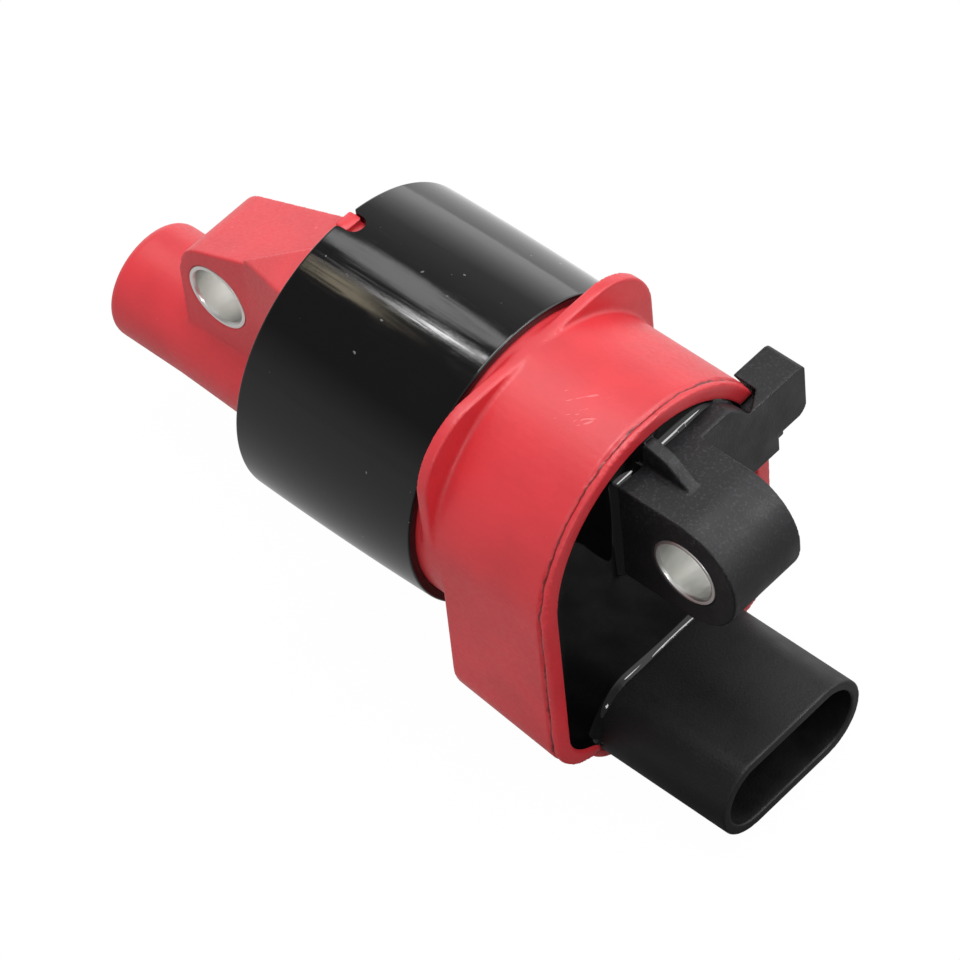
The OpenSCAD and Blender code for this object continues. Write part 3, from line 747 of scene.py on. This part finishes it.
class COIL_OT_bushings(bpy.types.Operator):
    """Turned bushings with a rolled outer lip and a chamfered bore"""

    bl_idname = "coil.bushings"
    bl_label = "Bushings"

    def execute(self, context):
        material = turned_aluminium(settings().colours.aluminium)
        for node in ("tower_bushing", "connector_bushing"):
            lo, hi = box_mm(node)
            centre = (lo + hi) / 2
            outer = (hi[0] - lo[0]) / 2 - 0.02
            half = (hi[1] - lo[1]) / 2
            mouth = BOLT_BORE_R + BORE_CHAMFER
            straight = half - BORE_CHAMFER_LEN
            corners = [(-half, outer), (-half, mouth), (-straight, BOLT_BORE_R),
                       (straight, BOLT_BORE_R), (half, mouth), (half, outer)]

            def turned(y, r, a):
                return centre[0] + r * math.cos(a), centre[1] + y, centre[2] + r * math.sin(a)

            loop = rounded_loop(corners, [0.14, 0.12, 0.1, 0.1, 0.12, 0.14], 3)
            mesh = lathe(node + "_turning", loop, 128, turned)
            smooth(mesh, 30)
            place(mesh)
            new_piece(node + "_turning", mesh, material, node)
        return {"FINISHED"}


# --- potting -----------------------------------------------------------------------------

RESIN_STEP = 0.2
# Highest the resin stands above its level at a wall, and how much more at a stem
WALL_CREST = 1.15
STEM_CREST_MORE = 0.9
# How far the resin's edge is hidden inside what it touches, and its margin over the CAD floor
RESIN_TUCK = 0.6
FLOOR_MARGIN = 0.4


def outside_box(y, z, centre_y, half_y, low_z, high_z):
    """Distance from an upright rectangle, negative inside."""
    qy = np.abs(y - centre_y) - half_y
    qz = np.abs(z - (low_z + high_z) / 2) - (high_z - low_z) / 2
    return np.hypot(np.maximum(qy, 0), np.maximum(qz, 0)) + np.minimum(np.maximum(qy, qz), 0)


def wall_distance(y, z):
    """How far a point of the resin's surface is from the housing wall, negative in the wall."""
    tube = BORE_R - np.hypot(y, z)
    qy = np.abs(y) - (BORE_R - POT_CORNER_R)
    qz = -(z - (POT_BOTTOM + POT_CORNER_R))
    low = (POT_CORNER_R - np.hypot(np.maximum(qy, 0), np.maximum(qz, 0))
           - np.minimum(np.maximum(qy, qz), 0))
    # the round tube gives way to the square box at the coil's axis
    return np.maximum(tube, np.minimum(low, -z + 0.05))


def stem_distance(y, z):
    """How far it is from what stands in the resin: arm, rib, wing and shroud."""
    arm = outside_box(y, z, 0, EAR_HALF, ARM_BOTTOM, ARM_TOP)
    rib = outside_box(y, z, RIB_Y, RIB_HALF, ARM_TOP - 1, RIB_TOP)
    wing = np.maximum(outside_box(y, z, WING_Y, WING_HALF, WING_BOTTOM, ARM_TOP),
                      np.hypot(y, z) - BORE_R + 0.2)
    shroud = np.hypot(np.maximum(np.abs(y) - SHROUD_HALF_FLAT, 0), z - SHROUD_Z) - SHROUD_R
    wander = 0.10 * np.sin(0.32 * y + 1.0) * np.cos(0.27 * z)
    return np.minimum(np.minimum(arm, rib), np.minimum(wing, shroud)) + wander


class COIL_OT_potting(bpy.types.Operator):
    """Potting resin with a level surface that climbs every wall and stem it touches"""

    bl_idname = "coil.potting"
    bl_label = "Potting resin"

    def execute(self, context):
        s = settings()
        step = RESIN_STEP * 1
        ys = np.arange(-BORE_R - 0.5, BORE_R + 0.5 + step, step)
        zs = np.arange(POT_BOTTOM - 0.5, BORE_R + 0.5 + step, step)
        y, z = np.meshgrid(ys, zs)
        wall, stem = wall_distance(y, z), stem_distance(y, z)
        reach = s.sizes.climb_reach
        rise = (s.sizes.wall_climb * np.exp(-np.maximum(wall, 0) / reach)
                + s.sizes.stem_climb * np.exp(-np.maximum(stem, 0) / reach))
        ripple = 0.03 * np.sin(y / 2.9 + 1.7 * np.sin(z / 5.1)) * np.cos(z / 3.7)
        x = POT_TOP + np.minimum(rise + ripple, WALL_CREST + STEM_CREST_MORE * (stem < wall))
        keep = np.minimum(wall, stem) > -RESIN_TUCK
        quads = keep[:-1, :-1] & keep[1:, :-1] & keep[:-1, 1:] & keep[1:, 1:]
        used = np.zeros_like(keep)
        for a in (slice(None, -1), slice(1, None)):
            for b in (slice(None, -1), slice(1, None)):
                used[a, b] |= quads
        index = -np.ones(keep.shape, int)
        index[used] = np.arange(used.sum())
        r, c = np.nonzero(quads)
        faces = np.c_[index[r, c], index[r, c + 1], index[r + 1, c + 1], index[r + 1, c]]
        mesh = mesh_from("potting_cast", np.c_[x[used], y[used], z[used]],
                         [tuple(f) for f in faces.tolist()])
        work = bpy.data.objects.new("potting_work", mesh)
        context.collection.objects.link(work)
        thick = work.modifiers.new("depth", "SOLIDIFY")
        thick.thickness = POT_TOP - POT_FLOOR - FLOOR_MARGIN
        thick.offset = -1
        mesh = bake(work)
        bpy.data.objects.remove(work)
        smooth(mesh, 60)
        place(mesh)
        new_piece("potting_cast", mesh, black_cast_epoxy(s.colours.epoxy), "potting")
        return {"FINISHED"}


# --- pieces kept from the CAD model --------------------------------------------------------


class COIL_OT_inner_pieces(bpy.types.Operator):
    """Finishes of the core, windings, driver and terminals, which keep their CAD shapes"""

    bl_idname = "coil.inner_pieces"
    bl_label = "Inner pieces"

    def execute(self, context):
        colours = settings().colours
        finishes = inner_finishes(colours)
        cast = bpy.data.materials.get("black_epoxy_cast")
        finishes["epoxy"] = cast or black_cast_epoxy(colours.epoxy)
        slots = {e["node"]: e["material_slot"] for e in frame["record"]["subparts"]}
        for name, node in frame["nodes"].items():
            if node.hide_render:
                continue
            if slots[name] not in finishes:
                raise RuntimeError("no finish for " + slots[name])
            node.data.materials.clear()
            node.data.materials.append(finishes[slots[name]])
        return {"FINISHED"}


# --- stage -------------------------------------------------------------------------------

# The camera: its place in the coil's frame, its axes and its lens
EYE = np.array([383.527, -334.345, 576.606])
EYE_RIGHT = Vector((0.73740635, 0.67146334, -0.07327246))
EYE_UP = Vector((-0.48338711, 0.60038074, 0.63708702))
EYE_BACK = Vector((0.47177196, -0.43437305, 0.76730129))
LENS_MM = 220.603
SENSOR_MM = 36.0

# How far the strip lights stand from the sleeve, and the point they face
STRIP_AWAY = 2000.0
STRIP_AIM = np.array([15, 0, 20])

FLOOR_REACH_M = 3.0
FLOOR_DROP = 0.3


def panel(name, middle, x_axis, facing, size_m, power, tint="#ffffff", diffuse=True):
    """A flat panel light centred on a point of the coil's frame, with its two sides in metres."""
    light = bpy.data.lights.new(name, "AREA")
    light.shape = "RECTANGLE"
    light.size, light.size_y = size_m
    light.energy = power
    light.color = linear(tint)[:3]
    lamp = bpy.data.objects.new(name, light)
    bpy.context.collection.objects.link(lamp)
    z_axis = Vector(facing).normalized()
    x_axis = Vector(x_axis)
    x_axis = (x_axis - z_axis * z_axis.dot(x_axis)).normalized()
    axes = Matrix((x_axis, z_axis.cross(x_axis), z_axis)).transposed()
    lamp.matrix_world = Matrix.Translation(at(*middle)) @ axes.to_4x4()
    lamp.visible_diffuse = diffuse


def watts(radiance, size_m):
    """Power of a panel light that is to show a radiance in reflections."""
    return radiance * math.pi * size_m[0] * size_m[1]


def mirrored(x, degrees):
    """Point that the camera sees reflected in the sleeve at x, some degrees round from the top."""
    a = math.radians(degrees)
    spot = np.array([x, SLEEVE_R * math.sin(a), SLEEVE_R * math.cos(a)])
    slope = 2 * SHEET_CROWN * (x - SLEEVE_LEN / 2) / (SLEEVE_LEN / 2) ** 2
    normal = np.array([slope, math.sin(a), math.cos(a)])
    normal /= np.linalg.norm(normal)
    view = (EYE - spot) / np.linalg.norm(EYE - spot)
    return spot + STRIP_AWAY * (2 * (view @ normal) * normal - view)


def streak(name, start, end, width, radiance, tint="#ffffff"):
    """A strip light whose reflection runs along the sleeve between two (x, degrees) points."""
    a, b = mirrored(*start), mirrored(*end)
    middle = (a + b) / 2
    # the curved sleeve turns a reflection by twice the angle that it spans
    size_m = (np.linalg.norm(b - a) * MM, 2 * width / SLEEVE_R * STRIP_AWAY * MM)
    panel(name, middle, b - a, middle - STRIP_AIM, size_m, watts(radiance, size_m), tint, False)


def stage_world(s):
    """White to the camera. Reflections see a room lit from behind with a dim gap overhead."""
    world = bpy.data.worlds.new("studio")
    bpy.context.scene.world = world
    world.use_nodes = True
    t = world.node_tree
    t.nodes.clear()
    way = put(t, "SeparateXYZ", [put(t, "TexCoord").outputs["Generated"]]).outputs
    aside = put(t, "Math", [way["X"], 0.47], operation="ADD")
    aside = put(t, "Math", [aside], operation="ABSOLUTE")
    gap = put(t, "Math", [put(t, "MapRange", [way["Z"], 0.12, 0.5, 0, 1]),
                          put(t, "MapRange", [aside, 0.22, 0.45, 1, 0])], operation="MULTIPLY")
    sides = put(t, "MapRange", [way["Y"], -0.1, 0.6, s.room_near, s.room_far])
    above = put(t, "MapRange", [way["Y"], 0.15, 0.65, s.ceiling, 3.2 * s.ceiling])
    sky = put(t, "Mix", {"Factor": gap, "A": sides, "B": above}, data_type="FLOAT")
    ray = put(t, "LightPath").outputs
    shiny = put(t, "Math", [ray["Is Glossy Ray"], ray["Is Transmission Ray"]],
                operation="MAXIMUM")
    level = put(t, "Mix", {"Factor": shiny, "A": s.ambient, "B": sky}, data_type="FLOAT")
    level = put(t, "Mix", {"Factor": ray["Is Camera Ray"], "A": level, "B": 1.0},
                data_type="FLOAT")
    background = put(t, "Background", {"Color": linear("#ffffff"), "Strength": level})
    put(t, "OutputWorld", [background])


def floor_material(s):
    """Matt white paper, lifted to white for the camera and dimmer in reflections.

    It keeps a soft shadow.
    """
    m = bpy.data.materials.new("paper_matt_white")
    m.use_nodes = True
    t = m.node_tree
    t.nodes.clear()
    ray = put(t, "LightPath").outputs
    glossy = ray["Is Glossy Ray"]
    seen = put(t, "Math", [ray["Is Camera Ray"], ray["Is Transmission Ray"]],
               operation="MAXIMUM")
    fade = put(t, "Mix", {"Factor": seen, "A": glossy, "B": s.floor_fade}, data_type="FLOAT")
    spot = put(t, "SeparateXYZ", [put(t, "TexCoord").outputs["Object"]]).outputs
    near = put(t, "MapRange", [spot["X"], 0.05, 0.08, s.floor_near, 0.25 * s.floor_near])
    far = put(t, "MapRange", [spot["X"], 0.05, 0.08, s.floor_far, 0.65 * s.floor_far])
    behind = put(t, "MapRange", [spot["Y"], -0.01, 0.05, 0, 1])
    side = put(t, "Mix", {"Factor": behind, "A": near, "B": far}, data_type="FLOAT")
    # a little over 1, so that the paper's shaded share doesn't leave it grey
    level = put(t, "Mix", {"Factor": glossy, "A": 1.035, "B": side}, data_type="FLOAT")
    paper = put(t, "BsdfDiffuse", {"Color": linear("#a8a8a8")})
    white = put(t, "Emission", {"Color": linear("#ffffff"), "Strength": level})
    put(t, "OutputMaterial", [put(t, "MixShader", [fade, paper, white])])
    return m


class COIL_OT_stage(bpy.types.Operator):
    """Pale floor, soft lights, white surroundings and the camera"""

    bl_idname = "coil.stage"
    bl_label = "Stage"

    def execute(self, context):
        s = settings().stage
        scene = context.scene
        low = CAD_BOX[0].z - FLOOR_DROP * MM
        reach = FLOOR_REACH_M
        corners = [(-reach, -reach, low), (reach, -reach, low), (reach, reach, low),
                   (-reach, reach, low)]
        floor = bpy.data.objects.new("floor", mesh_from("floor", corners, [(0, 1, 2, 3)]))
        floor.data.materials.append(floor_material(s))
        context.collection.objects.link(floor)
        stage_world(s)
        panel("key", (0, 110, 890), (1, 0, 0), (-0.02, 0.12, 0.99), (0.5, 0.5), s.key)
        # glints where the resin curves up to what stands in it: its tops, then its near ends
        for name, middle, x_axis, facing, size_m in (
                ("front", (600, -570, 290), (0, 0, 1), (0.66, -0.66, 0.33), (0.10, 0.10)),
                ("rear", (540, 370, 560), (0, 1, 0), (0.62, 0.43, 0.65), (0.36, 0.10))):
            panel(name, middle, x_axis, facing, size_m, watts(s.rear, size_m), diffuse=False)
        # strips that show in the lacquer: a long dim one, a short bright one and a warm one
        streak("strip_long", (2, -9.3), (28, -4.2), 2.4, 3.1 * s.strips)
        streak("strip_short", (20, -14.3), (25.5, -14.9), 1.2, 26.0 * s.strips)
        streak("strip_warm", (0, -19.0), (12, -18.6), 1.9, 3.8 * s.strips, "#fff0d0")
        camera = bpy.data.cameras.new("camera")
        camera.lens = LENS_MM
        camera.sensor_width = SENSOR_MM
        camera.clip_start, camera.clip_end = 0.05, 50.0
        eye = bpy.data.objects.new("camera", camera)
        context.collection.objects.link(eye)
        axes = Matrix((EYE_RIGHT, EYE_UP, EYE_BACK)).transposed()
        eye.matrix_world = Matrix.Translation(at(*EYE)) @ axes.to_4x4()
        scene.camera = eye
        scene.view_settings.view_transform = "Standard"
        return {"FINISHED"}


# --- panel and registration ----------------------------------------------------------------

STEPS = (COIL_OT_housing, COIL_OT_cover, COIL_OT_sleeve, COIL_OT_bushings, COIL_OT_potting,
         COIL_OT_inner_pieces, COIL_OT_stage)


class COIL_PT_panel(bpy.types.Panel):
    """Sizes, colours and steps of the ignition coil"""

    bl_idname = "COIL_PT_panel"
    bl_label = "Ignition Coil"
    bl_space_type = "VIEW_3D"
    bl_region_type = "UI"
    bl_category = "Ignition Coil"

    def draw(self, context):
        column = self.layout.column(align=True)
        for step in STEPS:
            column.operator(step.bl_idname)
        coil = context.scene.ignition_coil
        for group in (coil.sizes, coil.colours, coil.stage):
            column.separator()
            for key in group.__annotations__:
                column.prop(group, key)


CLASSES = (CoilSizes, CoilColours, StageSettings, CoilSettings, *STEPS, COIL_PT_panel)


def register():
    """Registers the classes and hangs the settings on the scene."""
    for cls in CLASSES:
        bpy.utils.register_class(cls)
    bpy.types.Scene.ignition_coil = PointerProperty(type=CoilSettings)


def unregister():
    """Takes the settings and classes away again."""
    del bpy.types.Scene.ignition_coil
    for cls in reversed(CLASSES):
        bpy.utils.unregister_class(cls)


def main():
    """Builds every piece and the stage."""
    register()
    for step in STEPS:
        family, name = step.bl_idname.split(".")
        if getattr(getattr(bpy.ops, family), name)() != {"FINISHED"}:
            raise RuntimeError(step.bl_label + " did not finish")


if __name__ == "__main__":
    main()
